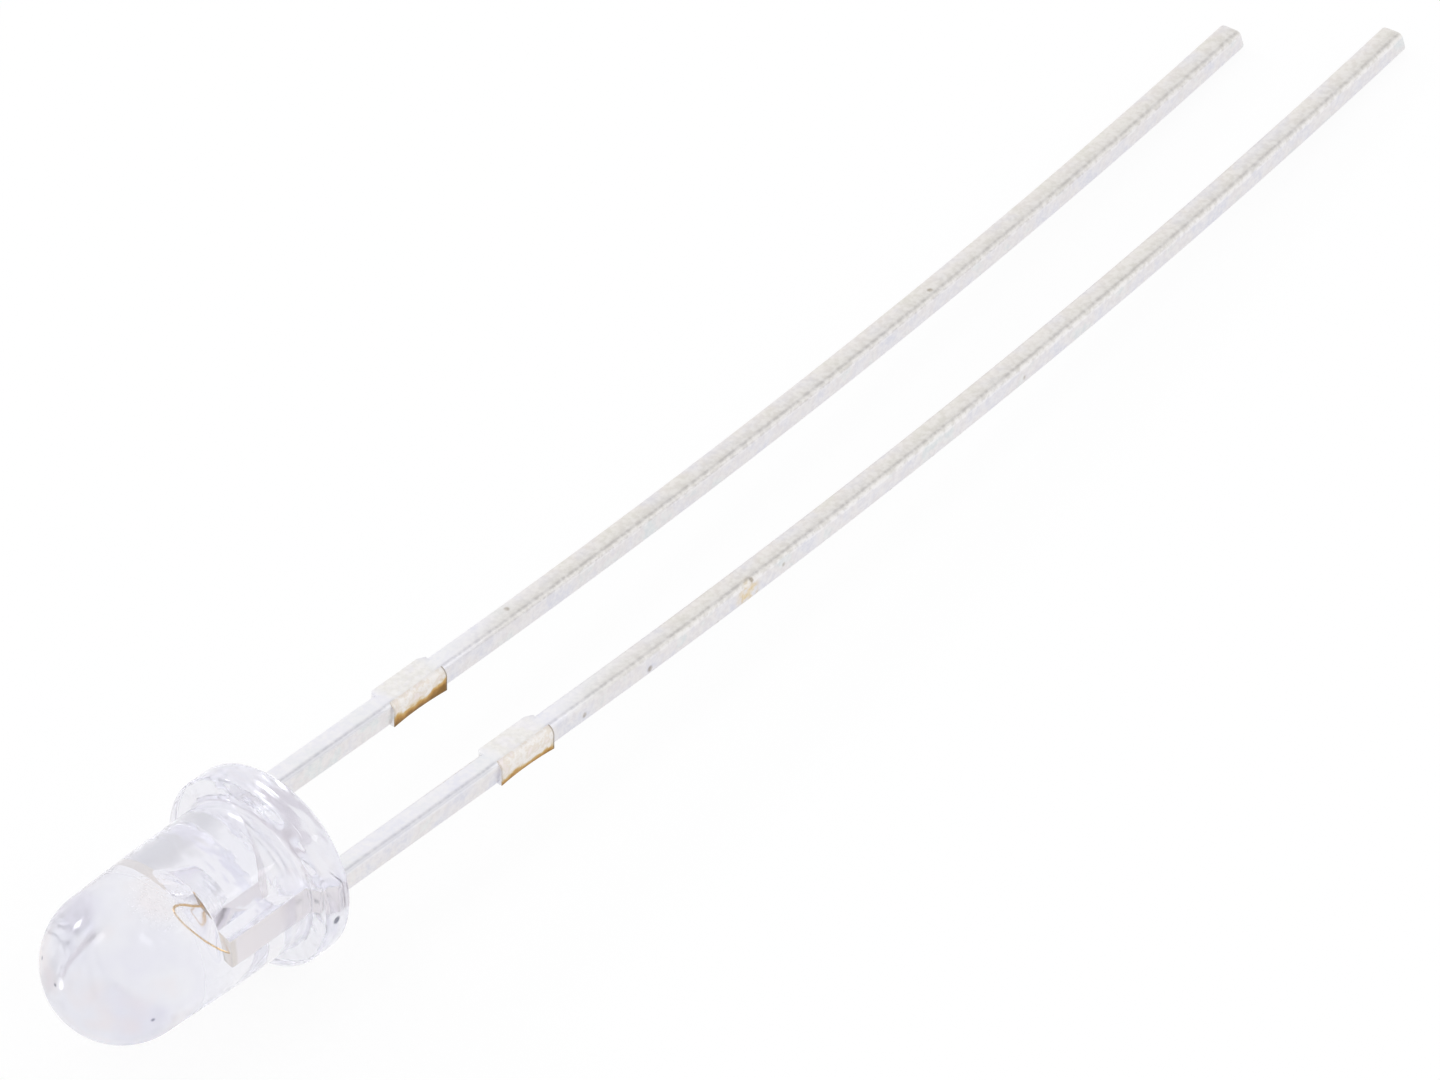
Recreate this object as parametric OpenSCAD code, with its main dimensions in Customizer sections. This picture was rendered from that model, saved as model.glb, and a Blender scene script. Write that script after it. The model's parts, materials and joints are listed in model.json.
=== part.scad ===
// Clear round through-hole LED, 3 mm size, lying on a table as it comes to rest.
// It is drawn upright, leads down, with the seating face at z = 0, and then laid down.
// Upright axes: the cathode lead stands at -x, the anode lead at +x, the dome points to +z.

/* [Lens] */
// Radius of the lens barrel above the rim
lens_r = 1.5; // [1.4:0.01:1.6]
// Radius of the domed end
dome_r = 1.45; // [1.35:0.01:1.5]
// Height from the seating face to the top of the dome
body_h = 5.35; // [5:0.05:6.5]
// Length of the parallel land between the rim and the tapered barrel
land_l = 1.55; // [1.3:0.05:2]
// Radius of the seating rim
rim_r = 1.9; // [1.85:0.01:2.2]
// Thickness of the seating rim
rim_t = 0.6; // [0.55:0.01:0.8]
// Rounding of the rim's two edges
rim_edge_r = 0.07; // [0.03:0.01:0.12]
// Fillet between the rim and the barrel
rim_fillet_r = 0.1; // [0.03:0.01:0.14]

/* [Leads] */
// Distance between the centre lines of the two leads
lead_pitch = 2.54; // [2.4:0.01:2.6]
// Width of the leads, in the plane of the pair
lead_w = 0.46; // [0.35:0.01:0.5]
// Thickness of the leads, which is that of the frame's sheet
lead_t = 0.5; // [0.4:0.01:0.55]
// Rounding of the leads' long edges
lead_edge_r = 0.12; // [0.05:0.01:0.15]
// Length of the cathode lead from the seating face, along its lower side
cathode_l = 30.15; // [20:0.05:34]
// How much longer the anode lead is
anode_extra_l = 1.95; // [1:0.05:4]
// How much shorter the slanting cut at the tips leaves the leads on their upper side
tip_slant = 0.17; // [0.05:0.01:0.25]
// Radius of the gentle sideways bow of both leads, at the middle between them
bow_r = 205; // [150:5:600]

/* [Stops] */
// Distance from the seating face to the stops
stop_z = 4.4; // [3:0.1:6]
// Length of the stops
stop_l = 1.42; // [1:0.02:2]
// How far the stop stands out on its chamfered side
wing_w = 0.08; // [0.04:0.01:0.2]
// How far the stop stands out on its sheared side
sheared_wing_w = 0.06; // [0.03:0.01:0.2]
// Length of the short shoulder where a stop begins
shoulder_l = 0.05; // [0.03:0.01:0.15]
// Length of the chamfer where a stop ends
run_out_l = 0.22; // [0.1:0.01:0.4]
// Depth of the broken, hollow half of the sheared face
break_depth = 0.04; // [0.02:0.01:0.05]
// Height of the clean, burnished half of the sheared face
burnish_h = 0.2; // [0.15:0.01:0.25]

/* [Frame inside the lens] */
// Distance from the axis to the outer edges of the frame
frame_r = 1.15; // [1.08:0.01:1.2]
// Height at which the leads start to step inwards
step_z = 0.12; // [0.08:0.01:0.2]
// Height at which the frame has reached its outer edges
step_end_z = 0.45; // [0.4:0.01:0.5]
// Height of the reflector cup's rim above the seating face
cup_z = 2.4; // [2.15:0.05:2.6]
// Outer radius of the cup's rim
cup_r = 0.58; // [0.55:0.01:0.62]
// Wall of the cup at its rim
cup_wall = 0.06; // [0.04:0.01:0.1]
// Depth of the cup
cup_depth = 0.36; // [0.25:0.01:0.42]
// Radius of the cup's flat floor
cup_floor_r = 0.25; // [0.22:0.01:0.3]
// Height of the round head that the cup is pressed into
head_h = 0.55; // [0.5:0.01:0.6]
// Radius of the head's foot, which is half the anvil's width there
head_foot_r = 0.42; // [0.36:0.01:0.45]
// Height at which the anvil's slanting lower edge meets its side
anvil_low_z = 1.15; // [1:0.01:1.25]
// Height at which the anvil's outer edge turns towards its flat top
anvil_shoulder_z = 2; // [1.6:0.05:2.1]
// Distance from the axis to the outer end of the anvil's flat top
anvil_top_x = 0.86; // [0.7:0.01:0.95]
// Height of the bonding post above the seating face
post_z = 2.5; // [2.35:0.05:3]
// Width of the bonding post
post_w = 0.42; // [0.35:0.01:0.43]
// How far the post's foot reaches towards the axis
post_foot_x = 0.5; // [0.4:0.01:0.6]
// Lower and upper heights of the post's foot
post_foot_low_z = 0.42; // [0.3:0.01:0.45]
post_foot_high_z = 0.8; // [0.6:0.01:0.85]

/* [Chip and wire] */
// Side of the square light-emitting die
die_w = 0.28; // [0.2:0.01:0.3]
// Thickness of the die
die_t = 0.13; // [0.1:0.01:0.2]
// Radius of the spot of silver epoxy under the die
paste_r = 0.21; // [0.15:0.01:0.22]
// Thickness of the silver epoxy
paste_t = 0.02; // [0.02:0.005:0.04]
// Radius of the gold bond wire
wire_r = 0.015; // [0.012:0.001:0.02]
// Radius of the bonded ball on the die
ball_r = 0.04; // [0.035:0.005:0.05]
// Height of the bonded ball
ball_h = 0.03; // [0.02:0.005:0.04]
// Height above the ball of the point that draws the wire's loop up and away from the post
loop_h = 0.98; // [0.8:0.01:1.1]
// Distance of that point from the axis
loop_lean = 0.85; // [0.5:0.01:0.95]
// Straight rise of the wire out of the ball
loop_start = 0.12; // [0.08:0.01:0.2]
// Distance from the axis to the weld on the post
weld_x = 1.05; // [0.85:0.01:1.07]

/* [Hidden] */
$fn = 64;
// Facets of a whole turn, for the slender arcs of the leads
arc_fn = 720;
// Sides of the wire's section, and the number of its straight pieces
wire_sides = 8;
wire_steps = 16;

cathode_x = -lead_pitch / 2;
anode_x = lead_pitch / 2;
half_w = lead_w / 2;
half_t = lead_t / 2;
dome_z = body_h - dome_r;
stop_end_z = stop_z + stop_l;
head_z = cup_z - head_h;
floor_z = cup_z - cup_depth;
die_z = floor_z + paste_t;
ball_z = die_z + die_t;

// Radius and angle of a lead's bowed stretch
function bend_r(x) = bow_r + x;
function bend_angle(x, l) = (l - stop_end_z) / bend_r(x) * 180 / PI;
cathode_bend = bend_angle(cathode_x, cathode_l);
anode_bend = bend_angle(anode_x, cathode_l + anode_extra_l);

// Where a tip's centre lies, along the leads and across them, once the LED is laid down
function tip(x, bend) = [stop_end_z + bend_r(x) * sin(bend), bow_r - bend_r(x) * cos(bend)];
cathode_tip = tip(cathode_x, cathode_bend);
anode_tip = tip(anode_x, anode_bend);

// The table is the plane c0 + c1 x + c2 y + z = 0 under the laid LED. It touches the rim's
// edge and the rounded lower edges of both tips, and is found by repeated substitution.
edge_x = half_w - lead_edge_r;
edge_y = half_t - lead_edge_r;
touch_a = cathode_tip + [-sin(cathode_bend), cos(cathode_bend)] * edge_x;
touch_b = anode_tip + [-sin(anode_bend), cos(anode_bend)] * edge_x;
touch_det = touch_a[0] * touch_b[1] - touch_b[0] * touch_a[1];
function slope(c) = norm([1, c[1], c[2]]);
function tip_gap(c) = edge_y + lead_edge_r * slope(c) - c[0];
function rim_gap(c) = rim_edge_r * c[1] + (rim_r - rim_edge_r) * norm([1, c[2]]) + rim_edge_r * slope(c);
function touch(c, g) = [rim_gap(c), g * (touch_b[1] - touch_a[1]) / touch_det,
                        g * (touch_a[0] - touch_b[0]) / touch_det];
function settle(n, c) = n == 0 ? c : settle(n - 1, touch(c, tip_gap(c)));
table = settle(12, [rim_r, 0, 0]);
roll = atan(table[2]);
tilt = atan(-table[1] * cos(roll));
axis_z = table[0] / slope(table);

// Reach of a lead's rounded, slanting tip in a direction with the share w across the lead,
// the share t through its thickness and the share l along it
function reach(w, t, l) = let (s = t - l * tip_slant / lead_t)
    edge_x * abs(w) + edge_y * abs(s) + lead_edge_r * norm([w, s]) - l * tip_slant / 2;
x_min = -dome_z * cos(tilt) - dome_r;
x_max = anode_tip[0] * cos(tilt) + anode_tip[1] * sin(tilt) * sin(roll)
      + reach(cos(anode_bend) * sin(tilt) * sin(roll) - sin(anode_bend) * cos(tilt),
              sin(tilt) * cos(roll),
              cos(anode_bend) * cos(tilt) + sin(anode_bend) * sin(tilt) * sin(roll));
y_min = -max(rim_r, anode_x + half_w + sheared_wing_w);
y_max = max(rim_r, cathode_tip[1] * cos(roll)
      + reach(cos(cathode_bend) * cos(roll), -sin(roll), sin(cathode_bend) * cos(roll)));

// Turns the upright LED so that its leads run along +x, and rests it on the table
module laid() {
    translate([-(x_min + x_max) / 2, -(y_min + y_max) / 2, axis_z])
        rotate([roll, tilt, 0])
            rotate([90, 0, -90])
                children();
}

// Half section of the moulded lens: rounded rim, fillet, land, tapered barrel and dome
module lens_profile() {
    square([rim_r - rim_edge_r, rim_t]);
    translate([0, rim_edge_r])
        square([rim_r, rim_t - 2 * rim_edge_r]);
    for (y = [rim_edge_r, rim_t - rim_edge_r])
        translate([rim_r - rim_edge_r, y])
            circle(rim_edge_r);
    polygon([[0, 0], [lens_r, 0], [lens_r, rim_t + land_l], [dome_r, dome_z], [0, dome_z]]);
    translate([lens_r, rim_t])
        difference() {
            square(rim_fillet_r);
            translate([rim_fillet_r, rim_fillet_r])
                circle(rim_fillet_r);
        }
    translate([0, dome_z])
        intersection() {
            circle(dome_r);
            square(dome_r);
        }
}

// Section of the leads, a rectangle with rounded edges, centred on the lead
module lead_section() {
    square([lead_w, 2 * edge_y], center = true);
    square([2 * edge_x, lead_t], center = true);
    for (x = [-edge_x, edge_x], y = [-edge_y, edge_y])
        translate([x, y])
            circle(lead_edge_r);
}

// A flat outline in x and z, stamped from the frame's sheet
module stamped() {
    rotate([90, 0, 0])
        linear_extrude(lead_t, center = true)
            children();
}

// Stop left where a tie bar was sheared off: chamfered on one side, cut square on the other.
// The lower half of the cut is the hollow break that shearing leaves.
module stop() {
    hollow_r = (pow(stop_l / 2, 2) + pow(break_depth, 2)) / (2 * break_depth);
    side_x = half_w + sheared_wing_w;
    difference() {
        stamped()
            polygon([[side_x, -stop_z], [side_x, -stop_end_z], [-half_w, -stop_end_z],
                     [-half_w - wing_w, -stop_end_z + run_out_l],
                     [-half_w - wing_w, -stop_z - shoulder_l], [-half_w, -stop_z]]);
        translate([side_x - break_depth + hollow_r, half_t - burnish_h, -stop_z - stop_l / 2])
            rotate([90, 0, 0])
                cylinder(r = hollow_r, h = lead_t, $fn = arc_fn);
    }
}

// One lead below the seating face: straight stub, stop, and the gently bowed wire, cut at a slant
module lead(x, bend) {
    translate([x, 0, -stop_z])
        linear_extrude(stop_z)
            lead_section();
    translate([x, 0, 0])
        stop();
    translate([-bow_r, 0, -stop_end_z])
        rotate([-90, 0, 0])
            difference() {
                rotate_extrude(angle = bend, $fn = arc_fn)
                    translate([bend_r(x), 0])
                        lead_section();
                rotate([0, 0, bend])
                    translate([bend_r(x), 0, -half_t])
                        rotate([atan(tip_slant / lead_t), 0, 0])
                            translate([-lead_w, 0, -lead_t])
                                cube([2 * lead_w, lead_t, 3 * lead_t]);
            }
}

// Anvil on the cathode lead, with the reflector cup coined into its round head and flat top
module anvil() {
    difference() {
        union() {
            stamped()
                polygon([[cathode_x - half_w, 0], [cathode_x + half_w, 0], [cathode_x + half_w, step_z],
                         [head_foot_r, anvil_low_z], [head_foot_r, cup_z], [-anvil_top_x, cup_z],
                         [-frame_r, anvil_shoulder_z], [-frame_r, step_end_z], [cathode_x - half_w, step_z]]);
            translate([0, 0, head_z])
                cylinder(r1 = head_foot_r, r2 = cup_r, h = head_h);
        }
        translate([0, 0, floor_z])
            cylinder(r1 = cup_floor_r, r2 = cup_r - cup_wall, h = cup_depth);
    }
}

// Bonding post on the anode lead, with the foot that anchors it in the resin
module post() {
    stamped()
        polygon([[anode_x - half_w, 0], [anode_x + half_w, 0], [anode_x + half_w, step_z],
                 [frame_r, step_end_z], [frame_r, post_z], [frame_r - post_w, post_z],
                 [frame_r - post_w, anvil_low_z], [post_foot_x, post_foot_high_z],
                 [post_foot_x, post_foot_low_z], [anode_x - half_w, step_z]]);
}

module die_upright() {
    translate([-die_w / 2, -die_w / 2, die_z])
        cube([die_w, die_w, die_t]);
}

module paste_upright() {
    translate([0, 0, floor_z])
        cylinder(r = paste_r, h = paste_t);
}

// The wire rises from the ball, turns sharply and runs down to the post: a cubic curve in x and z
wire_from = [0, ball_z + ball_h];
wire_curve = [wire_from, wire_from + [0, loop_start], wire_from + [-loop_lean, loop_h], [weld_x, post_z]];
function wire_point(t) = wire_curve[0] * pow(1 - t, 3) + wire_curve[1] * 3 * t * pow(1 - t, 2)
                       + wire_curve[2] * 3 * t * t * (1 - t) + wire_curve[3] * pow(t, 3);
function wire_way(t) = (wire_curve[1] - wire_curve[0]) * pow(1 - t, 2)
                     + (wire_curve[2] - wire_curve[1]) * 2 * t * (1 - t)
                     + (wire_curve[3] - wire_curve[2]) * t * t;
// Across the wire, in its own plane. Its two end faces lie flat on what they are bonded to.
function wire_across(t) = t == 0 ? [1, 0] : t == 1 ? [-1, 0] : [wire_way(t)[1], -wire_way(t)[0]] / norm(wire_way(t));
function wire_ring(t) = [for (k = [0:wire_sides - 1])
    let (a = 360 * k / wire_sides, p = wire_point(t) + wire_across(t) * wire_r * cos(a))
        [p[0], wire_r * sin(a), p[1]]];

module wire_upright() {
    last = wire_sides * wire_steps;
    translate([0, 0, ball_z])
        cylinder(r = ball_r, h = ball_h, $fn = 12);
    polyhedron(
        points = [for (i = [0:wire_steps]) each wire_ring(i / wire_steps)],
        faces = concat(
            [[for (k = [0:wire_sides - 1]) k]],
            [[for (k = [wire_sides - 1:-1:0]) last + k]],
            [for (i = [0:wire_steps - 1], k = [0:wire_sides - 1])
                let (a = i * wire_sides + k, b = i * wire_sides + (k + 1) % wire_sides)
                    each [[a, a + wire_sides, b], [b, a + wire_sides, b + wire_sides]]]));
}

// Water-clear epoxy, cast round the frame, the die and the wire
module lens_body() {
    color([0.90, 0.90, 0.95, 0.45])
        laid()
            difference() {
                rotate_extrude()
                    lens_profile();
                anvil();
                post();
                paste_upright();
                die_upright();
                wire_upright();
            }
}

// Tinned steel, with the anvil and its cup inside the lens
module cathode_lead() {
    color("gainsboro")
        laid() {
            anvil();
            lead(cathode_x, cathode_bend);
        }
}

// Tinned steel, with the bonding post inside the lens
module anode_lead() {
    color("gainsboro")
        laid() {
            post();
            lead(anode_x, anode_bend);
        }
}

module die() {
    color("darkgoldenrod")
        laid()
            die_upright();
}

module die_attach() {
    color("darkgray")
        laid()
            paste_upright();
}

module bond_wire() {
    color("gold")
        laid()
            wire_upright();
}

lens_body();
cathode_lead();
anode_lead();
die();
die_attach();
bond_wire();
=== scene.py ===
import json
import math
import bpy
from mathutils import Matrix, Vector


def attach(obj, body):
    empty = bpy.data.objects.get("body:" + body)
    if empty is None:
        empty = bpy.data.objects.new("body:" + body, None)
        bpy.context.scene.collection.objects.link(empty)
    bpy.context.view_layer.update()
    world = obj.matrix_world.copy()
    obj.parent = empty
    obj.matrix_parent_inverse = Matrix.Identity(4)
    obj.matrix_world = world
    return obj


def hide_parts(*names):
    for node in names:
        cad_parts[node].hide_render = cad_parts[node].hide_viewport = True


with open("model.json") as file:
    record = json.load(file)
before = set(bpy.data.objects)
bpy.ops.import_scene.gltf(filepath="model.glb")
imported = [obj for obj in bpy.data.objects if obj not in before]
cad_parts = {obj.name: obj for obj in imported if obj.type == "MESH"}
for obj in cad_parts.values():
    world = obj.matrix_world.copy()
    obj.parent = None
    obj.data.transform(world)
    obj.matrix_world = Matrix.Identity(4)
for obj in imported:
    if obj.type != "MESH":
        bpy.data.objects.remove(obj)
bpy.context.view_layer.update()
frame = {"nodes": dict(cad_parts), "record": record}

# The cast lens
# A 3 mm lens of water-clear epoxy, cast round the lead frame in a polished mould. It is a dome on a
# slightly tapered barrel, which ends in a round seating rim. Sizes are in millimetres on the upright
# LED, with its dome up, its leads down and the seating face at height 0.
LENS_R = 1.5
DOME_R = 1.448
BODY_H = 5.348
LAND_L = 1.55
RIM_R = 1.898
RIM_T = 0.6
RIM_EDGE_R = 0.07
RIM_FILLET_R = 0.1
LENS_SIDES = 288
EDGE_STEPS = 4
FILLET_STEPS = 5
TAPER_STEPS = 4
DOME_STEPS = 40
DOME_LAST_RING = 88
LENS_CREASE = math.radians(35)
CLOSE = 0.001
ROLL = math.radians(-2.428)
MM = 0.001
dome_z = BODY_H - DOME_R
taper_z = RIM_T + LAND_L

mounts = {mount["name"]: mount for mount in frame["record"]["mounts"]}
seat = mounts["seating_face"]
lying = (Matrix.Translation(Vector(seat["pos_m"]))
         @ Matrix.Rotation(math.asin(-seat["axis"][2]), 4, "Y") @ Matrix.Rotation(ROLL, 4, "X")
         @ Matrix.Rotation(math.radians(-90), 4, "Z") @ Matrix.Rotation(math.radians(90), 4, "X")
         @ Matrix.Scale(MM, 4))


def start_fresh():
    bpy.ops.object.select_all(action="DESELECT")


def settle(piece):
    """Puts a new primitive's place and size into its mesh."""
    bpy.context.view_layer.update()
    piece.data.transform(piece.matrix_world)
    piece.matrix_world = Matrix.Identity(4)
    return piece


def lay_down(piece, name):
    """Every piece is modelled upright in millimetres, leads down, and then laid in its place."""
    piece.name = name
    piece.data.name = name
    settle(piece).data.transform(lying)
    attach(piece, "root")
    return piece


def pick(piece, kind, wanted):
    """Selects the vertices or the edges for which wanted(centre, way) is true. The way is a vertex's
    normal or an edge's direction."""
    bpy.ops.object.mode_set(mode="OBJECT")
    mesh = piece.data
    for group in (mesh.vertices, mesh.edges, mesh.polygons):
        for item in group:
            item.select = False
    for item in getattr(mesh, kind):
        if kind == "vertices":
            centre, way = item.co, item.normal
        else:
            ends = [mesh.vertices[k].co for k in item.vertices]
            centre, way = (ends[0] + ends[1]) / 2, (ends[1] - ends[0]).normalized()
        item.select = bool(wanted(centre, way))
    bpy.ops.object.mode_set(mode="EDIT")
    bpy.ops.mesh.select_mode(type={"vertices": "VERT", "edges": "EDGE"}[kind])


def apply_modifier(piece, kind, **settings):
    modifier = piece.modifiers.new(kind.title(), kind)
    for key, value in settings.items():
        setattr(modifier, key, value)
    bpy.context.view_layer.objects.active = piece
    bpy.ops.object.modifier_apply(modifier=modifier.name)


def arc(centre_r, centre_z, radius, start, end, steps):
    """Points on a rounding of the mould, as radius and height."""
    angles = [math.radians(start + (end - start) * k / steps) for k in range(steps + 1)]
    return [(centre_r + radius * math.cos(a), centre_z + radius * math.sin(a)) for a in angles]


def linear(code):
    """An sRGB hex colour as the linear numbers that a shader socket takes."""
    parts = [int(code[k:k + 2], 16) / 255 for k in (0, 2, 4)]
    return [c / 12.92 if c <= 0.04045 else ((c + 0.055) / 1.055) ** 2.4 for c in parts] + [1.0]


def new_material(name):
    material = bpy.data.materials.new(name)
    material.use_nodes = True
    return material, material.node_tree.nodes["Principled BSDF"]


def add_node(tree_owner, kind, settings=None, **inputs):
    """Adds one node. An input i0, i1 is a socket by number, and any other is a socket by name."""
    tree = tree_owner.node_tree
    node = tree.nodes.new(kind)
    for key, value in (settings or {}).items():
        setattr(node, key, value)
    for key, value in inputs.items():
        numbered = key[1:].isdigit()
        socket = node.inputs[int(key[1:]) if numbered else key.replace("_", " ")]
        if isinstance(value, bpy.types.NodeSocket):
            tree.links.new(value, socket)
        else:
            socket.default_value = value
    return node


def link(tree_owner, output, socket):
    tree_owner.node_tree.links.new(output, socket)


def upright_mm(material):
    """Object coordinates turned back to the upright LED, in millimetres."""
    place, turn, size = lying.inverted().decompose()
    coords = add_node(material, "ShaderNodeTexCoord")
    mapped = add_node(material, "ShaderNodeMapping", {"vector_type": "POINT"},
                      Vector=coords.outputs["Object"], Location=place, Rotation=turn.to_euler(), Scale=size)
    return mapped.outputs["Vector"]


def noise(material, where, size_mm, detail=2.0, rough=0.5):
    return add_node(material, "ShaderNodeTexNoise", Vector=where, Scale=1 / size_mm,
                    Detail=detail, Roughness=rough).outputs["Fac"]


def ramp(material, value, *stops):
    """Colours in hex at places from 0 to 1."""
    node = add_node(material, "ShaderNodeValToRGB", Fac=value)
    while len(node.color_ramp.elements) < len(stops):
        node.color_ramp.elements.new(0.5)
    for element, (place, colour) in zip(node.color_ramp.elements, stops):
        element.position = place
        element.color = linear(colour)
    return node.outputs["Color"]


def spread(material, value, start, end, low=0.0, high=1.0):
    """Maps start..end smoothly to low..high."""
    return add_node(material, "ShaderNodeMapRange", {"interpolation_type": "SMOOTHSTEP"},
                    Value=value, From_Min=start, From_Max=end, To_Min=low, To_Max=high).outputs["Result"]


def calc(material, operation, first, second):
    node = add_node(material, "ShaderNodeMath", {"operation": operation}, i0=first, i1=second)
    return node.outputs["Value"]


def times(material, first, second):
    return calc(material, "MULTIPLY", first, second)


def larger(material, first, second):
    return calc(material, "MAXIMUM", first, second)


def spot(material, where, place, radius, soft):
    """1 inside a round spot and 0 outside it. The spot reaches through the piece."""
    away = add_node(material, "ShaderNodeVectorMath", {"operation": "DISTANCE"}, i0=where, i1=place)
    return spread(material, away.outputs["Value"], radius - soft / 2, radius + soft / 2, 1.0, 0.0)


def blend_colour(material, share, first, second):
    """Share 0 gives the first colour and 1 the second."""
    node = add_node(material, "ShaderNodeMix", {"data_type": "RGBA"}, i0=share, i6=first, i7=second)
    return node.outputs[2]


def mix_shaders(material, share, first, second):
    """Share 0 gives the first shader and 1 the second."""
    node = add_node(material, "ShaderNodeMixShader", i0=share, i1=first, i2=second)
    return node.outputs["Shader"]


start_fresh()
bpy.ops.mesh.primitive_circle_add(vertices=LENS_SIDES, radius=RIM_R - RIM_EDGE_R, fill_type="NOTHING")
lens = bpy.context.object
outline = arc(RIM_R - RIM_EDGE_R, RIM_EDGE_R, RIM_EDGE_R, -90, 0, EDGE_STEPS)[1:]
outline += arc(RIM_R - RIM_EDGE_R, RIM_T - RIM_EDGE_R, RIM_EDGE_R, 0, 90, EDGE_STEPS)
outline += arc(LENS_R + RIM_FILLET_R, RIM_T + RIM_FILLET_R, RIM_FILLET_R, -90, -180, FILLET_STEPS)
outline += [(LENS_R, RIM_T + LAND_L / 2), (LENS_R, taper_z)]
for k in range(1, TAPER_STEPS):
    share = k / TAPER_STEPS
    outline.append((LENS_R + (DOME_R - LENS_R) * share, taper_z + (dome_z - taper_z) * share))
outline += arc(0, dome_z, DOME_R, 0, DOME_LAST_RING, DOME_STEPS)
bpy.ops.object.mode_set(mode="EDIT")
bpy.ops.mesh.select_all(action="SELECT")
r_now, z_now = RIM_R - RIM_EDGE_R, 0.0
for r, z in outline:
    bpy.ops.mesh.extrude_region_move(TRANSFORM_OT_translate={"value": (0, 0, z - z_now)})
    bpy.ops.transform.resize(value=(r / r_now, r / r_now, 1), center_override=(0, 0, z))
    r_now, z_now = r, z
bpy.ops.mesh.merge(type="CENTER")
pick(lens, "edges", lambda centre, way: abs(centre.z) < CLOSE)
bpy.ops.mesh.edge_face_add()
bpy.ops.mesh.select_all(action="SELECT")
bpy.ops.mesh.normals_make_consistent(inside=False)
bpy.ops.object.mode_set(mode="OBJECT")
bpy.ops.object.shade_smooth_by_angle(angle=LENS_CREASE)

# Clear epoxy resin, index 1.53, with the faint ripples of the mould. It isn't quite clear: a thin
# haze lets cool white light through, and fine pits frost a patch of the barrel. A few dark specks
# sit in it. The seating face is where the resin was poured in, so it is wavy.
RIPPLE_MM = 0.9
RIPPLE_HEIGHT_MM = 0.012
WAVE_MM = 0.55
WAVE_HEIGHT_MM = 0.09
WAVY_BELOW_Z = 0.03
RIM_HAZE = 0.12
BARREL_HAZE = 0.1
DOME_HAZE = 0.42
RIM_HAZE_ENDS_Z = 0.5
BARREL_HAZE_STARTS_Z = 1.3
BARREL_HAZE_ENDS_Z = 2.3
DOME_HAZE_STARTS_Z = 4.3
POWDER_SHARE = 0.4
CLOUD_MM = 1.3
PIT_MM = 0.05
PITTED_PLACE = (0.45, 1.3, 3.5)
PITTED_R = 0.65
PITTED_SOFT = 0.6
TURNS = 3.5
SPECKS = (((1.89, -0.2, 0.37), 0.08), ((-0.855, 0.34, 5.02), 0.035), ((-0.29, 0.21, 5.305), 0.03),
          ((1.294, -0.21, 4.52), 0.035))
SPECK_SOFT = 0.05
SPECK_STRENGTH = 0.7
epoxy, surface = new_material("Cast Clear Epoxy")
surface.inputs["Base Color"].default_value = linear("F8F8FC")
surface.inputs["Transmission Weight"].default_value = 1.0
surface.inputs["IOR"].default_value = 1.53
surface.inputs["Roughness"].default_value = 0.03
where = upright_mm(epoxy)
height = add_node(epoxy, "ShaderNodeSeparateXYZ", Vector=where).outputs["Z"]
wavy = times(epoxy, noise(epoxy, where, WAVE_MM, 1.0),
             spread(epoxy, height, 0.0, WAVY_BELOW_Z, WAVE_HEIGHT_MM, 0.0))
ripple = times(epoxy, noise(epoxy, where, RIPPLE_MM), RIPPLE_HEIGHT_MM)
bump = add_node(epoxy, "ShaderNodeBump", Height=calc(epoxy, "ADD", ripple, wavy),
                Strength=1.0, Distance=MM)
link(epoxy, bump.outputs["Normal"], surface.inputs["Normal"])
haze = larger(epoxy, spread(epoxy, height, BARREL_HAZE_ENDS_Z, DOME_HAZE_STARTS_Z, BARREL_HAZE, DOME_HAZE),
              spread(epoxy, height, RIM_HAZE_ENDS_Z, BARREL_HAZE_STARTS_Z, RIM_HAZE, BARREL_HAZE))
pits = times(epoxy, spread(epoxy, noise(epoxy, where, PIT_MM, 1.0), 0.57, 0.68, 0.0, 0.6),
             spot(epoxy, where, PITTED_PLACE, PITTED_R, PITTED_SOFT))
haze = larger(epoxy, haze, pits)
cloud = ramp(epoxy, noise(epoxy, where, CLOUD_MM, 2.0),
             (0.36, "FCF2F0"), (0.5, "F6F6FC"), (0.64, "EEEEFA"))
milk = add_node(epoxy, "ShaderNodeBsdfTranslucent", Color=cloud)
powder = add_node(epoxy, "ShaderNodeBsdfDiffuse", Color=cloud)
mist = mix_shaders(epoxy, POWDER_SHARE, milk.outputs["BSDF"], powder.outputs["BSDF"])
cast = mix_shaders(epoxy, haze, surface.outputs["BSDF"], mist)
# Where a ray has turned to and fro inside the epoxy more than TURNS times, it sees a painted pale glow, an
# emission that stands in for the light it would bring out.
path = add_node(epoxy, "ShaderNodeLightPath")
deep = calc(epoxy, "GREATER_THAN", path.outputs["Ray Depth"], TURNS)
painted_glow = add_node(epoxy, "ShaderNodeEmission", Color=linear("ECECF4"), Strength=1.0)
cast = mix_shaders(epoxy, deep, cast, painted_glow.outputs["Emission"])
dirt = add_node(epoxy, "ShaderNodeBsdfDiffuse", Color=linear("4A4E5E"))
speck = 0.0
for place, radius in SPECKS:
    speck = larger(epoxy, speck, spot(epoxy, where, place, radius, SPECK_SOFT))
cast = mix_shaders(epoxy, times(epoxy, speck, SPECK_STRENGTH), cast, dirt.outputs["BSDF"])
link(epoxy, cast, epoxy.node_tree.nodes["Material Output"].inputs["Surface"])
lens.data.materials.append(epoxy)
lay_down(lens, "lens")
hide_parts("lens_body")

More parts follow.
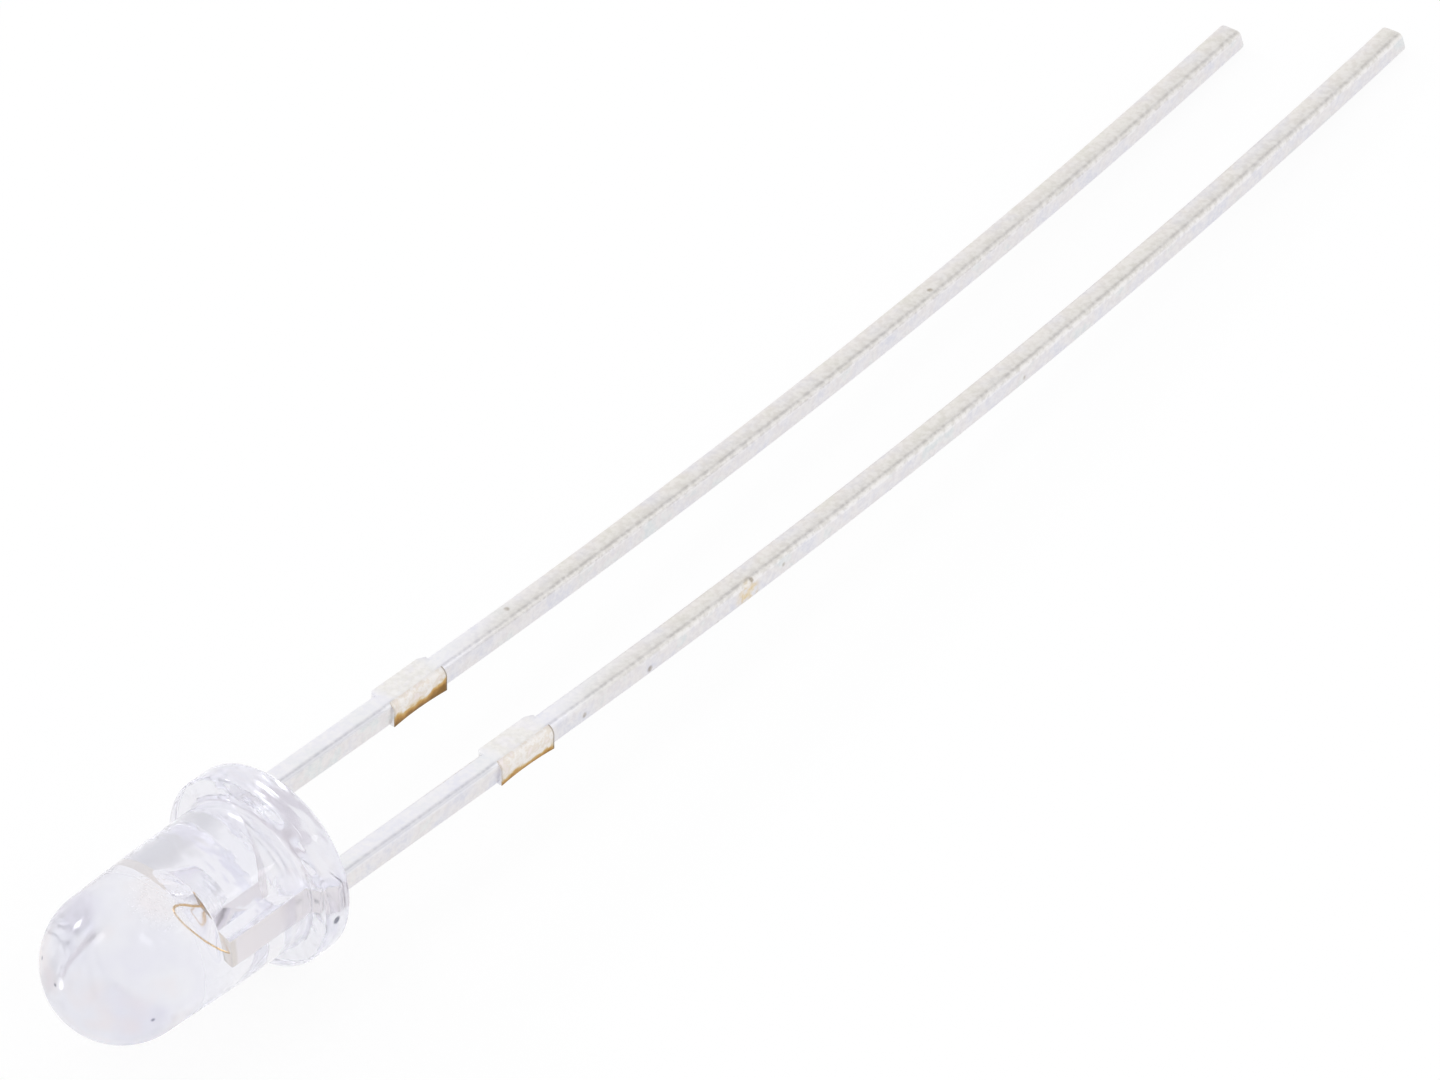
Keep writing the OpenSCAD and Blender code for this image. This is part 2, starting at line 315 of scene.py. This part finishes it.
# The leads
# Two wires of tinned steel, stamped from one strip, with softly rounded edges and slanting cut tips.
# Each has a stop where a tie bar was sheared off, and both bow gently to the cathode's side.
PITCH = 2.54
LEAD_W = 0.46
LEAD_T = 0.5
LEAD_EDGE_R = 0.12
CATHODE_L = 30.15
ANODE_L = 32.1
TIP_SLANT = 0.17
BOW_R = 205.0
STOP_Z = 4.4
STOP_L = 1.42
WING_W = 0.08
SHEARED_WING_W = 0.06
SHOULDER_L = 0.05
RUN_OUT_L = 0.22
BREAK_DEPTH = 0.04
BURNISH_H = 0.2
DIE_ROLL = 0.19
STOP_THINNER = 0.002
STOP_EDGE_R = 0.012
TIP_EDGE_R = 0.05
ROUND_STEPS = 6
STRAIGHT_STEPS = 12
BOW_STEPS = 72
STOP_STEPS = 10
ROLL_STEPS = 8
PAST_TIP = 1.002
MERGE = 0.0005
CORNER = math.radians(40)
UPRIGHT = 0.9
LEAD_CREASE = math.radians(32)
STOP_T = LEAD_T - STOP_THINNER
half_w, half_t = LEAD_W / 2, LEAD_T / 2
stop_end = STOP_Z + STOP_L


def square_wire(x, length):
    """The wire below the seating face: drawn down, and on round the bow to the slanting tip."""
    start_fresh()
    bpy.ops.mesh.primitive_plane_add(size=1, location=(x, 0, 0))
    wire = bpy.context.object
    wire.scale = (LEAD_W, LEAD_T, 1)
    settle(wire)
    bpy.ops.object.mode_set(mode="EDIT")
    bpy.ops.mesh.select_all(action="SELECT")
    bpy.ops.mesh.bevel(offset=LEAD_EDGE_R, segments=ROUND_STEPS, affect="VERTICES")
    for _ in range(STRAIGHT_STEPS):
        bpy.ops.mesh.extrude_region_move(TRANSFORM_OT_translate={"value": (0, 0, -stop_end / STRAIGHT_STEPS)})
    radius = BOW_R + x
    bend = (length - stop_end) / radius
    bpy.ops.mesh.spin(steps=BOW_STEPS, angle=-bend * PAST_TIP, center=(-BOW_R, 0, -stop_end), axis=(0, 1, 0))
    along = Vector((-math.sin(bend), 0, -math.cos(bend)))
    lower_end = Vector((-BOW_R + radius * math.cos(bend), -half_t, -stop_end - radius * math.sin(bend)))
    bpy.ops.mesh.select_all(action="SELECT")
    bpy.ops.mesh.bisect(plane_co=lower_end, plane_no=along + Vector((0, TIP_SLANT / LEAD_T, 0)),
                        use_fill=True, clear_outer=True)
    bpy.ops.mesh.bevel(offset=TIP_EDGE_R, segments=3, affect="EDGES")
    bpy.ops.mesh.select_all(action="SELECT")
    bpy.ops.mesh.remove_doubles(threshold=MERGE)
    bpy.ops.mesh.normals_make_consistent(inside=False)
    bpy.ops.object.mode_set(mode="OBJECT")
    return wire


def sheared_stop(x):
    """The stop: chamfered on its far side, and sheared on its near side, where the metal broke hollow."""
    start_fresh()
    far_x, near_x, break_y = x - half_w - WING_W, x + half_w + SHEARED_WING_W, half_t - BURNISH_H
    bpy.ops.mesh.primitive_cube_add(size=1, location=((far_x + near_x) / 2, 0, -STOP_Z - STOP_L / 2),
                                    scale=(near_x - far_x, STOP_T, STOP_L))
    stop = settle(bpy.context.object)
    bpy.ops.object.mode_set(mode="EDIT")
    cuts = [((0, 0, -stop_end + RUN_OUT_L), (0, 0, 1)), ((0, 0, -STOP_Z - SHOULDER_L), (0, 0, 1)),
            ((0, break_y, 0), (0, 1, 0))]
    cuts += [((0, 0, -STOP_Z - STOP_L * k / STOP_STEPS), (0, 0, 1)) for k in range(1, STOP_STEPS)]
    for place, across in cuts:
        bpy.ops.mesh.select_all(action="SELECT")
        bpy.ops.mesh.bisect(plane_co=place, plane_no=across)
    pick(stop, "vertices", lambda p, way: (p.x < far_x + CLOSE
                                           and (p.z < -stop_end + CLOSE or p.z > -STOP_Z - CLOSE)))
    bpy.ops.transform.translate(value=(WING_W, 0, 0))
    pick(stop, "vertices", lambda p, way: p.x > near_x - CLOSE and p.y < break_y - CLOSE)
    bpy.ops.object.mode_set(mode="OBJECT")
    for vertex in stop.data.vertices:
        if vertex.select:
            along = (vertex.co.z + STOP_Z + STOP_L / 2) / (STOP_L / 2)
            vertex.co.x -= BREAK_DEPTH * (1 - along * along)
    pick(stop, "edges", lambda p, way: (p.x > near_x - CLOSE and p.y > STOP_T / 2 - CLOSE
                                        and abs(way.z) > UPRIGHT))
    bpy.ops.mesh.bevel(offset=DIE_ROLL, segments=ROLL_STEPS, affect="EDGES")
    bpy.ops.mesh.select_all(action="SELECT")
    bpy.ops.mesh.remove_doubles(threshold=MERGE)
    bpy.ops.mesh.normals_make_consistent(inside=False)
    bpy.ops.object.mode_set(mode="OBJECT")
    apply_modifier(stop, "BEVEL", width=STOP_EDGE_R, segments=2, limit_method="ANGLE", angle_limit=CORNER)
    return stop


# Inside the lens the strip is flat, with crisp edges. The cathode carries the anvil, whose round head
# holds the coined reflector cup. The anode carries the bonding post.
FRAME_R = 1.15
STEP_Z = 0.12
STEP_END_Z = 0.45
CUP_Z = 2.4
CUP_R = 0.58
CUP_WALL = 0.06
CUP_DEPTH = 0.36
CUP_FLOOR_R = 0.25
HEAD_H = 0.55
HEAD_FOOT_R = 0.42
ANVIL_LOW_Z = 1.15
ANVIL_SHOULDER_Z = 2.0
ANVIL_TOP_X = 0.86
POST_Z = 2.5
POST_W = 0.42
POST_FOOT_X = 0.5
POST_FOOT_LOW_Z = 0.42
POST_FOOT_HIGH_Z = 0.8
CUP_SIDES = 96
OVERCUT = 0.1
FRAME_EDGE_R = 0.02
FRAME_MERGE = 0.001


def stamped(x_low, x_high, z_low, z_high, *cuts):
    """A blank of the strip in the x-z plane, trimmed along straight cuts. Each cut is two points,
    and what lies to the left of the way from the first to the second falls off."""
    start_fresh()
    bpy.ops.mesh.primitive_cube_add(size=1, location=((x_low + x_high) / 2, 0, (z_low + z_high) / 2),
                                    scale=(x_high - x_low, LEAD_T, z_high - z_low))
    blank = settle(bpy.context.object)
    bpy.ops.object.mode_set(mode="EDIT")
    for (x1, z1), (x2, z2) in cuts:
        bpy.ops.mesh.select_all(action="SELECT")
        bpy.ops.mesh.bisect(plane_co=(x1, 0, z1), plane_no=(z1 - z2, 0, x2 - x1),
                            use_fill=True, clear_outer=True)
    bpy.ops.object.mode_set(mode="OBJECT")
    return blank


def weld(piece, other, operation="UNION"):
    """Joins a second body to the piece, or cuts it out of the piece."""
    apply_modifier(piece, "BOOLEAN", operation=operation, object=other, solver="EXACT")
    bpy.data.objects.remove(other)
    return piece


def cone(low_r, high_r, z_low, z_high):
    start_fresh()
    bpy.ops.mesh.primitive_cone_add(vertices=CUP_SIDES, radius1=low_r, radius2=high_r, depth=z_high - z_low,
                                    location=(0, 0, (z_low + z_high) / 2))
    return settle(bpy.context.object)


c_low, c_high = -PITCH / 2 - half_w, -PITCH / 2 + half_w
anvil = stamped(-FRAME_R, HEAD_FOOT_R, STEP_Z, CUP_Z, ((HEAD_FOOT_R, ANVIL_LOW_Z), (c_high, STEP_Z)),
                ((-FRAME_R, ANVIL_SHOULDER_Z), (-ANVIL_TOP_X, CUP_Z)))
weld(anvil, stamped(c_low, c_high, 0, STEP_END_Z, ((c_low, STEP_Z), (-FRAME_R, STEP_END_Z))))
weld(anvil, cone(HEAD_FOOT_R, CUP_R, CUP_Z - HEAD_H, CUP_Z))
cup_slope = (CUP_R - CUP_WALL - CUP_FLOOR_R) / CUP_DEPTH
weld(anvil, cone(CUP_FLOOR_R, CUP_R - CUP_WALL + OVERCUT * cup_slope, CUP_Z - CUP_DEPTH, CUP_Z + OVERCUT),
     "DIFFERENCE")
a_low, a_high = PITCH / 2 - half_w, PITCH / 2 + half_w
post = stamped(FRAME_R - POST_W, FRAME_R, STEP_END_Z, POST_Z)
weld(post, stamped(POST_FOOT_X, FRAME_R, STEP_Z, ANVIL_LOW_Z,
                   ((POST_FOOT_X, POST_FOOT_HIGH_Z), (FRAME_R - POST_W, ANVIL_LOW_Z)),
                   ((a_low, STEP_Z), (POST_FOOT_X, POST_FOOT_LOW_Z))))
weld(post, stamped(a_low, a_high, 0, STEP_END_Z, ((FRAME_R, STEP_END_Z), (a_high, STEP_Z))))

# Tin over steel: a bright but slightly dull metal. Rolling and dipping leave faint warm, green and
# lilac mottling. The tin has a few dark pits and one yellowish stain.
MOTTLE_MM = 0.7
GRAIN_MM = 0.11
SQUEEZE_MM = 0.4
DULL_STOP = 0.65
STOP_LOW_FADE = (-stop_end - 0.02, -stop_end + 0.3)
STOP_HIGH_FADE = (-STOP_Z - 0.25, -STOP_Z + 0.02)
SHADED_SIDE_DEPTH = 0.11
TOP_TONE_DEPTH = 0.05
TONE_FADE_L = 4.0
BAND_SOFT = 0.12
BAND_SHARE = 0.75
BAND_FADE_L = 2.0
EDGE_ACROSS = (0.14, 0.18)
HIGHLIGHT_EDGE_FROM = (0.12, 0.15)
HIGHLIGHT_EDGE_TO = (0.19, 0.22)
DARK_LINE_EDGE_FROM = (0.18, 0.2)
HIGHLIGHT_DASHES_START_L = 1.0
HIGHLIGHT_DASHES_FULL_L = 4.0
PAINTED_DARK_LINE_SHARE = 0.5
PAINTED_DARK_LINE_SOFT = 0.3
GRAIN_BUMP_M = 0.00001
PIT_SOFT = 0.06
STAIN_PLACE = (1.45, -0.06, -11.25)
STAIN_R = 0.26
STAIN_MM = 0.14
PITS = (((-1.31, 0.25, -7.8), 0.05), ((1.5, -0.05, -6.7), 0.05), ((1.49, -0.08, -8.5), 0.06),
        ((-1.69, 0.25, -20.0), 0.05), ((1.07, -0.06, -19.43), 0.04), ((1.41, 0.2, -11.37), 0.05),
        ((1.28, -0.2, -15.41), 0.04), ((1.21, -0.2, -16.67), 0.035), ((1.17, -0.2, -17.5), 0.03),
        ((1.45, -0.2, -10.4), 0.04), ((1.4, 0.02, -12.27), 0.04))
tin, surface = new_material("Tinned Steel")
where = upright_mm(tin)
axes = add_node(tin, "ShaderNodeSeparateXYZ", Vector=where)
across, upward, along = (axes.outputs[axis] for axis in "XYZ")
mottle = noise(tin, where, MOTTLE_MM, 4.0, 0.6)
# The sides have the faint mottling too, but their colours are painted darker than the top's: painted shade.
shaded_side_tone = ramp(tin, mottle, (0.36, "DBDBE4"), (0.46, "E1DFE4"), (0.56, "E3DFE0"), (0.66, "DCE0E2"))
near_tone = ramp(tin, mottle, (0.36, "E8E8F0"), (0.5, "EDECF2"), (0.64, "E9EAEE"))
far_tone = ramp(tin, mottle, (0.36, "DFDDE1"), (0.5, "E4DFDC"), (0.64, "E0DDD6"))
top_tone = blend_colour(tin, spread(tin, along, -stop_end - TONE_FADE_L, -stop_end), far_tone, near_tone)
# Along the upper edge on the anode's side the tin is a darker, warmer grey, in a soft band that follows the
# bow and fades out towards the stop.
bowed = add_node(tin, "ShaderNodeCombineXYZ", X=across, Z=calc(tin, "MINIMUM", along, -stop_end))
reach = add_node(tin, "ShaderNodeVectorMath", {"operation": "DISTANCE"}, i0=bowed.outputs["Vector"],
                 i1=(-BOW_R, 0.0, -stop_end))
from_cathode = calc(tin, "SUBTRACT", reach.outputs["Value"], BOW_R + PITCH / 2)
offset = add_node(tin, "ShaderNodeMath", {"operation": "WRAP"}, i0=from_cathode, i1=PITCH / 2,
                  i2=-PITCH / 2).outputs["Value"]
band = times(tin, spread(tin, offset, -BAND_SOFT, BAND_SOFT, 0.0, BAND_SHARE),
             spread(tin, along, -stop_end - BAND_FADE_L, -stop_end, 1.0, 0.0))
top_tone = blend_colour(tin, band, top_tone, linear("D6D3CE"))
# Below the top the colour turns to the painted shade of the sides.
on_top = spread(tin, upward, half_t - SHADED_SIDE_DEPTH, half_t - TOP_TONE_DEPTH)
colour = blend_colour(tin, on_top, shaded_side_tone, top_tone)
# The stops were squeezed in the die: their top is mottled, white to beige.
on_stop = times(tin, spread(tin, along, *STOP_LOW_FADE), spread(tin, along, *STOP_HIGH_FADE, 1.0, 0.0))
squeezed = ramp(tin, noise(tin, where, SQUEEZE_MM, 4.0, 0.6),
                (0.36, "EFEEEE"), (0.5, "E9E7E4"), (0.64, "EDEBEE"))
colour = blend_colour(tin, on_stop, colour, squeezed)
dark = 0.0
for place, radius in PITS:
    dark = larger(tin, dark, spot(tin, where, place, radius, PIT_SOFT))
stain = times(tin, spot(tin, where, STAIN_PLACE, STAIN_R, STAIN_R),
              spread(tin, noise(tin, where, STAIN_MM, 3.0), 0.3, 0.62))
colour = blend_colour(tin, times(tin, stain, 0.8), colour, linear("DEC48C"))
colour = blend_colour(tin, times(tin, dark, 0.6), colour, linear("7E6C50"))
grain = noise(tin, where, GRAIN_MM, 3.0, 0.6)
colour = blend_colour(tin, spread(tin, grain, 0.35, 0.65, 0.0, 0.4), colour, linear("FAF8F6"))
# Below the darker band, painted highlights brighten the rounded edge in broken dashes. Near the lens a
# painted dark line, a painted shade, runs along its upper part.
on_edge = times(tin, spread(tin, offset, *EDGE_ACROSS), spread(tin, upward, *HIGHLIGHT_EDGE_FROM))
highlight_edge = times(tin, on_edge, spread(tin, upward, *HIGHLIGHT_EDGE_TO, 1.0, 0.0))
painted_highlight_dashes = times(tin, spread(tin, grain, 0.35, 0.6, 0.1, 0.45),
               spread(tin, along, -stop_end - HIGHLIGHT_DASHES_FULL_L, -stop_end - HIGHLIGHT_DASHES_START_L, 1.0, 0.0))
# The dashes are painted highlights, almost white.
colour = blend_colour(tin, times(tin, highlight_edge, painted_highlight_dashes), colour, linear("FEFCFC"))
# Near the lens a painted dark line, a painted shade, runs along the upper part of the edge.
dark_line_edge = times(tin, on_edge, spread(tin, upward, *DARK_LINE_EDGE_FROM))
dark_line_near_lens = spread(tin, along, -STOP_Z, -STOP_Z + PAINTED_DARK_LINE_SOFT, 0.0, PAINTED_DARK_LINE_SHARE)
colour = blend_colour(tin, times(tin, dark_line_edge, dark_line_near_lens), colour, linear("CACAD0"))
link(tin, colour, surface.inputs["Base Color"])
surface.inputs["Metallic"].default_value = 1.0
dull = larger(tin, spread(tin, grain, 0.35, 0.65, 0.3, 0.42), times(tin, on_stop, DULL_STOP))
link(tin, dull, surface.inputs["Roughness"])
bump = add_node(tin, "ShaderNodeBump", Height=grain, Strength=0.25, Distance=GRAIN_BUMP_M)
link(tin, bump.outputs["Normal"], surface.inputs["Normal"])

# Inside the lens the strip is plated with silver, which is whiter and smoother. Where it was punched
# out, its edges are duller and warmer.
SILVER_WAVE_MM = 0.5
SILVER_BUMP_M = 0.00003
silver, surface = new_material("Silver Plated Strip")
surface.inputs["Base Color"].default_value = linear("FCFCFE")
surface.inputs["Metallic"].default_value = 1.0
surface.inputs["Roughness"].default_value = 0.12
where = upright_mm(silver)
bump = add_node(silver, "ShaderNodeBump", Height=noise(silver, where, SILVER_WAVE_MM),
                Strength=1.0, Distance=SILVER_BUMP_M)
link(silver, bump.outputs["Normal"], surface.inputs["Normal"])
punched, surface = new_material("Punched Strip Edge")
where = upright_mm(punched)
height = add_node(punched, "ShaderNodeSeparateXYZ", Vector=where).outputs["Z"]
tone = ramp(punched, spread(punched, height, CUP_Z - 0.15, CUP_Z + 0.15),
            (0.2, "F2EEEE"), (0.4, "EAE5E0"), (0.7, "E6E0D8"))
link(punched, tone, surface.inputs["Base Color"])
surface.inputs["Metallic"].default_value = 1.0
surface.inputs["Roughness"].default_value = 0.25

# Bare steel where the tie bar was sheared: a burnished, pale band at the top, and below it the rusty
# brown break.
RUST_MM = 0.2
RUB_MM = 0.26
RUB_BUMP_M = 0.00003
bare, surface = new_material("Sheared Bare Steel")
where = upright_mm(bare)
axes = add_node(bare, "ShaderNodeSeparateXYZ", Vector=where)
across, upward, along = (axes.outputs[axis] for axis in "XYZ")
ragged = times(bare, noise(bare, where, RUST_MM, 4.0), 0.3)
level = calc(bare, "ADD", upward, ragged)
# The anode's stop broke cleaner. The cathode's is browner towards its lower end.
level = calc(bare, "ADD", level, spread(bare, across, -1.0, 1.0, 0.0, 0.1))
worn = times(bare, spread(bare, along, -stop_end, -stop_end + 0.5, 0.1, 0.0),
             spread(bare, across, -1.0, 1.0, 1.0, 0.0))
level = calc(bare, "SUBTRACT", level, worn)
shear = spread(bare, level, -half_t + 0.15, half_t + 0.15)
broken = ramp(bare, shear, (0.0, "8E682C"), (0.14, "BA8C46"), (0.3, "D0AC6C"), (0.45, "DFCFAE"),
              (0.6, "E8E2D8"))
rubbed = ramp(bare, noise(bare, where, RUST_MM, 4.0, 0.6),
              (0.36, "F0E8E6"), (0.46, "E8E0D6"), (0.57, "F2EFED"), (0.68, "E9E3DC"))
tone = blend_colour(bare, spread(bare, shear, 0.35, 0.6), broken, rubbed)
# Both ends of the sheared face are painted darker, in thin lines where it steps into the wire: painted shade.
ends = larger(bare, spread(bare, along, -STOP_Z - 0.05, -STOP_Z - 0.02, 0.0, 0.3),
              spread(bare, along, -stop_end + 0.02, -stop_end + 0.05, 0.7, 0.0))
link(bare, blend_colour(bare, ends, tone, linear("8F8272")), surface.inputs["Base Color"])
surface.inputs["Metallic"].default_value = 0.9
surface.inputs["Roughness"].default_value = 0.5
rub = add_node(bare, "ShaderNodeBump", Height=noise(bare, where, RUB_MM, 3.0),
               Strength=0.6, Distance=RUB_BUMP_M)
link(bare, rub.outputs["Normal"], surface.inputs["Normal"])

# A face of the strip is punched where it looks along the strip, outside the cup. A face of the stop
# is sheared where it looks away from the lead.
FLAT_LOOK = 0.9
SHEARED_LOOK = 0.12
lead_materials = (tin, bare, silver, punched)
for node, x, length, inner in (("cathode_lead", -PITCH / 2, CATHODE_L, anvil),
                               ("anode_lead", PITCH / 2, ANODE_L, post)):
    apply_modifier(inner, "BEVEL", width=FRAME_EDGE_R, segments=2, limit_method="ANGLE", angle_limit=CORNER)
    start_fresh()
    inner.select_set(True)
    bpy.context.view_layer.objects.active = inner
    bpy.ops.object.mode_set(mode="EDIT")
    bpy.ops.mesh.select_all(action="SELECT")
    bpy.ops.mesh.remove_doubles(threshold=FRAME_MERGE)
    bpy.ops.mesh.normals_make_consistent(inside=False)
    bpy.ops.object.mode_set(mode="OBJECT")
    wire, stop = square_wire(x, length), sheared_stop(x)
    for part in (wire, stop, inner):
        for material in lead_materials:
            part.data.materials.append(material)
    for face in inner.data.polygons:
        from_middle = math.hypot(face.center.x, face.center.y)
        in_cup = from_middle < CUP_R - CUP_WALL / 2 and face.center.z > CUP_Z - HEAD_H
        was_punched = abs(face.normal.y) < FLAT_LOOK and not in_cup
        face.material_index = lead_materials.index(punched if was_punched else silver)
    for face in stop.data.polygons:
        if face.normal.x > SHEARED_LOOK and face.center.x > x + half_w + SHEARED_WING_W - DIE_ROLL:
            face.material_index = lead_materials.index(bare)
    start_fresh()
    for part in (stop, inner, wire):
        part.select_set(True)
    bpy.context.view_layer.objects.active = wire
    bpy.ops.object.join()
    bpy.ops.object.shade_smooth_by_angle(angle=LEAD_CREASE)
    lead = lay_down(wire, node + "_drawn")
    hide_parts(node)

# The chip, its glue and the wire
# A small diced crystal glued to the floor of the cup with silver epoxy. A fine gold wire is welded to
# its top and to the post.
CRYSTAL_MM = 0.03
GLUE_MM = 0.02
GOLD_MM = 0.05
crystal, surface = new_material("Diced Crystal")
where = upright_mm(crystal)
tone = ramp(crystal, noise(crystal, where, CRYSTAL_MM, 3.0), (0.3, "7A5A30"), (0.7, "A8854A"))
link(crystal, tone, surface.inputs["Base Color"])
surface.inputs["Roughness"].default_value = 0.3
surface.inputs["IOR"].default_value = 2.4
glue, surface = new_material("Silver Epoxy")
where = upright_mm(glue)
tone = ramp(glue, noise(glue, where, GLUE_MM), (0.3, "8E8C86"), (0.7, "C4C2BC"))
link(glue, tone, surface.inputs["Base Color"])
surface.inputs["Metallic"].default_value = 0.6
surface.inputs["Roughness"].default_value = 0.5
gold, surface = new_material("Drawn Gold Wire")
where = upright_mm(gold)
tone = ramp(gold, noise(gold, where, GOLD_MM), (0.3, "CCA056"), (0.7, "E8CA90"))
link(gold, tone, surface.inputs["Base Color"])
surface.inputs["Metallic"].default_value = 1.0
surface.inputs["Roughness"].default_value = 0.25
for node, material in (("die", crystal), ("die_attach", glue), ("bond_wire", gold)):
    frame["nodes"][node].data.materials.clear()
    frame["nodes"][node].data.materials.append(material)

# The table and the light
# A white sheet of paper under soft, even light. Where the camera or a reflection looks at it, the
# paper is close to white, and it still holds the LED's shadow.
TABLE_M = 4.0
SEEN_WHITE = 0.9
start_fresh()
bpy.ops.mesh.primitive_plane_add(size=TABLE_M, location=(0, 0, 0))
table = bpy.context.object
table.name = "table"
paper, surface = new_material("White Paper")
surface.inputs["Base Color"].default_value = linear("F4F4F5")
surface.inputs["Roughness"].default_value = 0.9
path = add_node(paper, "ShaderNodeLightPath")
seen = larger(paper, path.outputs["Is Camera Ray"], path.outputs["Is Glossy Ray"])
seen = larger(paper, seen, path.outputs["Is Transmission Ray"])
white = add_node(paper, "ShaderNodeEmission", Color=linear("FFFFFF"), Strength=1.0)
both = mix_shaders(paper, times(paper, seen, SEEN_WHITE), surface.outputs["BSDF"], white.outputs["Emission"])
link(paper, both, paper.node_tree.nodes["Material Output"].inputs["Surface"])
table.data.materials.append(paper)


def direction(azimuth, elevation):
    az, el = math.radians(azimuth), math.radians(elevation)
    return Vector((math.sin(az) * math.cos(el), -math.cos(az) * math.cos(el), math.sin(el)))


# A white tent all round. It is open and darker where the photographer stands beside the leads, and
# that draws the dark line along their edges.
OPENING = direction(76, 54)
OPENING_COLOUR = "DADADC"
OPENING_R = math.radians(30)
DARKEST_R = math.radians(12)
LAMP_M = 0.5
world = bpy.data.worlds.new("studio")
bpy.context.scene.world = world
world.use_nodes = True
sky = world.node_tree.nodes["Background"]
sky.inputs["Strength"].default_value = 1.0
look = add_node(world, "ShaderNodeTexCoord").outputs["Generated"]
facing = add_node(world, "ShaderNodeVectorMath", {"operation": "DOT_PRODUCT"}, i0=look, i1=OPENING)
opening = spread(world, facing.outputs["Value"], math.cos(OPENING_R), math.cos(DARKEST_R))
tent = blend_colour(world, opening, linear("FFFFFF"), linear(OPENING_COLOUR))
link(world, tent, sky.inputs["Color"])


def softbox(name, azimuth, elevation, width, height, brightness):
    """A soft lamp, half a metre away, that looks at the LED. White paper has the brightness 1."""
    lamp = bpy.data.lights.new(name, "AREA")
    lamp.shape = "RECTANGLE"
    lamp.size, lamp.size_y = width, height
    lamp.energy = brightness * math.pi * width * height
    holder = bpy.data.objects.new(name, lamp)
    bpy.context.scene.collection.objects.link(holder)
    way = direction(azimuth, elevation)
    holder.location = way * LAMP_M
    holder.rotation_euler = way.to_track_quat("Z", "Y").to_euler()


softbox("left_window", -120, 58, 0.10, 0.16, 3.0)
softbox("right_window", 24, 56, 0.10, 0.16, 3.0)
softbox("back_lamp", -167, 30, 0.07, 0.07, 14.0)
softbox("edge_lamp", 42, 32, 0.045, 0.045, 1.3)

# The camera looks down on the dome end, as in the photograph.
CAMERA_AZIMUTH = -49.383
CAMERA_ELEVATION = 41.734
CAMERA_ROLL = math.radians(0.241)
DISTANCE_MM = 321.0
AIM_MM = (-0.228, 0.315, 0.067)
FOCAL_MM = 442.74
SENSOR_MM = 36.0
camera = bpy.data.cameras.new("camera")
camera.lens = FOCAL_MM
camera.sensor_fit = "HORIZONTAL"
camera.sensor_width = SENSOR_MM
camera.clip_start = 0.01
eye = bpy.data.objects.new("camera", camera)
bpy.context.scene.collection.objects.link(eye)
back = direction(CAMERA_AZIMUTH, CAMERA_ELEVATION)
across = Vector((-back.y, back.x, 0)).normalized()
turned = Matrix((across, back.cross(across), back)).transposed() @ Matrix.Rotation(CAMERA_ROLL, 3, "Z")
eye.matrix_world = Matrix.Translation((Vector(AIM_MM) + back * DISTANCE_MM) * MM) @ turned.to_4x4()
bpy.context.scene.camera = eye
bpy.context.scene.view_settings.view_transform = "Standard"
